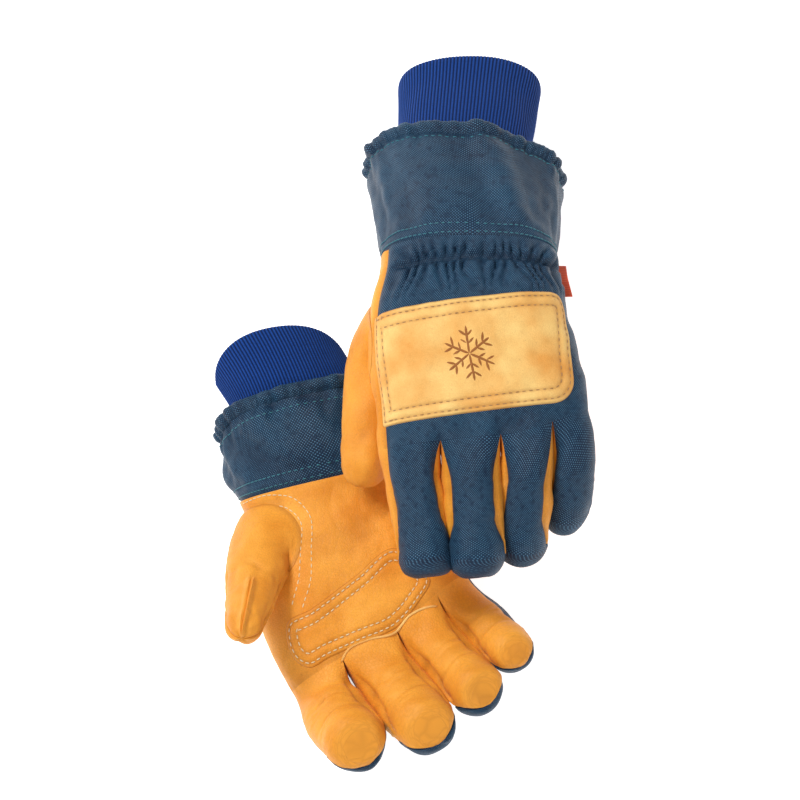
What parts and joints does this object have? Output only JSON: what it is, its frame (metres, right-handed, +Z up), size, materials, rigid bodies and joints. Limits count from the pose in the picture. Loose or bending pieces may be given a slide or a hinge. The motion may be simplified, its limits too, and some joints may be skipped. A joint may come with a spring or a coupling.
{
  "type": "pair of work gloves",
  "caption": "Insulated work gloves with leather palms, woven backs and gauntlets, and rib knit wrists; the fingers, thumbs and cuffs bend at hinges.",
  "frame": {"origin": "centre of the pair's footprint, on the surface it lies on", "axes": "+Z up, +Y from the fingertips of the upper glove to its cuff, +X to that glove's little finger side"},
  "size_m": [0.1921, 0.3663, 0.1081],
  "materials": {
    "grain_leather": "soft grain pigskin, golden tan, satin",
    "strap_leather": "paler smooth leather, matt",
    "woven_nylon": "coarse plain weave nylon, coated, dull sheen",
    "woven_binding": "the same weave, folded over the edge",
    "rib_knit": "fine acrylic rib knit, matt",
    "fleece_lining": "brushed fleece over a waterproof film",
    "elastic": "woven elastic",
    "woven_label": "satin woven tape, plain"
  },
  "bodies": {
    "right_hand": {"right_palm_leather": "grain_leather", "right_hand_back": "woven_nylon", "right_knuckle_strap": "strap_leather", "right_palm_patch": "grain_leather", "right_wrist_elastic": "elastic", "right_side_label": "woven_label", "right_hand_lining": "fleece_lining"},
    "right_cuff": {"right_gauntlet": "woven_nylon", "right_gauntlet_binding": "woven_binding", "right_knit_wrist": "rib_knit"},
    "right_index": {"right_index_front": "grain_leather", "right_index_back": "woven_nylon", "right_index_fourchette": "grain_leather", "right_index_lining": "fleece_lining"},
    "right_middle": {"right_middle_front": "grain_leather", "right_middle_back": "woven_nylon", "right_middle_fourchette": "grain_leather", "right_middle_lining": "fleece_lining"},
    "right_ring": {"right_ring_front": "grain_leather", "right_ring_back": "woven_nylon", "right_ring_fourchette": "grain_leather", "right_ring_lining": "fleece_lining"},
    "right_little": {"right_little_front": "grain_leather", "right_little_back": "woven_nylon", "right_little_fourchette": "grain_leather", "right_little_lining": "fleece_lining"},
    "right_thumb": {"right_thumb_front": "grain_leather", "right_thumb_back": "grain_leather", "right_thumb_lining": "fleece_lining"},
    "left_hand": {"left_palm_leather": "grain_leather", "left_hand_back": "woven_nylon", "left_knuckle_strap": "strap_leather", "left_palm_patch": "grain_leather", "left_wrist_elastic": "elastic", "left_side_label": "woven_label", "left_hand_lining": "fleece_lining"},
    "left_cuff": {"left_gauntlet": "woven_nylon", "left_gauntlet_binding": "woven_binding", "left_knit_wrist": "rib_knit"},
    "left_index": {"left_index_front": "grain_leather", "left_index_back": "woven_nylon", "left_index_fourchette": "grain_leather", "left_index_lining": "fleece_lining"},
    "left_middle": {"left_middle_front": "grain_leather", "left_middle_back": "woven_nylon", "left_middle_fourchette": "grain_leather", "left_middle_lining": "fleece_lining"},
    "left_ring": {"left_ring_front": "grain_leather", "left_ring_back": "woven_nylon", "left_ring_fourchette": "grain_leather", "left_ring_lining": "fleece_lining"},
    "left_little": {"left_little_front": "grain_leather", "left_little_back": "woven_nylon", "left_little_fourchette": "grain_leather", "left_little_lining": "fleece_lining"},
    "left_thumb": {"left_thumb_front": "grain_leather", "left_thumb_back": "grain_leather", "left_thumb_lining": "fleece_lining"}
  },
  "joints": [
    {"name": "left_index_bend", "type": "hinge", "parent": "left_hand", "child": "left_index", "pos_m": [0.0045, -0.034, 0.079], "axis": [0.9903, 0.1392, 0], "range_deg": [-30, 12]},
    {"name": "left_middle_bend", "type": "hinge", "parent": "left_hand", "child": "left_middle", "pos_m": [0.034, -0.034, 0.081], "axis": [0.9994, 0.0349, 0], "range_deg": [-30, 12]},
    {"name": "left_ring_bend", "type": "hinge", "parent": "left_hand", "child": "left_ring", "pos_m": [0.0625, -0.032, 0.08], "axis": [0.9976, -0.0698, 0], "range_deg": [-30, 45]},
    {"name": "left_little_bend", "type": "hinge", "parent": "left_hand", "child": "left_little", "pos_m": [0.086, -0.026, 0.074], "axis": [0.9945, -0.1045, 0], "range_deg": [-30, 45]},
    {"name": "left_thumb_swing", "type": "hinge", "parent": "left_hand", "child": "left_thumb", "pos_m": [-0.013, 0.025, 0.065], "axis": [0, 0, -1], "range_deg": [0, 18]},
    {"name": "left_wrist_bend", "type": "hinge", "parent": "left_hand", "child": "left_cuff", "pos_m": [0.034, 0.074, 0.07475], "axis": [-1, 0, 0], "range_deg": [-25, 10]},
    {"name": "right_index_bend", "type": "hinge", "parent": "right_hand", "child": "right_index", "pos_m": [-0.03944, -0.14064, 0.022], "axis": [-0.809, -0.5878, 0], "range_deg": [-35, 40]},
    {"name": "right_middle_bend", "type": "hinge", "parent": "right_hand", "child": "right_middle", "pos_m": [-0.01118, -0.12561, 0.022], "axis": [-0.829, -0.5592, 0], "range_deg": [-35, 40]},
    {"name": "right_ring_bend", "type": "hinge", "parent": "right_hand", "child": "right_ring", "pos_m": [0.0126, -0.1107, 0.022], "axis": [-0.7986, -0.6018, 0], "range_deg": [-35, 40]},
    {"name": "right_little_bend", "type": "hinge", "parent": "right_hand", "child": "right_little", "pos_m": [0.03283, -0.09655, 0.022], "axis": [-0.788, -0.6157, 0], "range_deg": [-35, 40]},
    {"name": "right_thumb_swing", "type": "hinge", "parent": "right_hand", "child": "right_thumb", "pos_m": [-0.06928, -0.06533, 0.034], "axis": [0, 0, -1], "range_deg": [0, 22]},
    {"name": "right_wrist_bend", "type": "hinge", "parent": "right_hand", "child": "right_cuff", "pos_m": [-0.03902, -0.03225, 0.022], "axis": [0.9734, 0.2292, 0], "range_deg": [-10, 6]},
    {"name": "left_lift", "type": "slide", "parent": "right_hand", "child": "left_hand", "axis": [0, 0, 1], "range_m": [0, 0.15]}
  ]
}
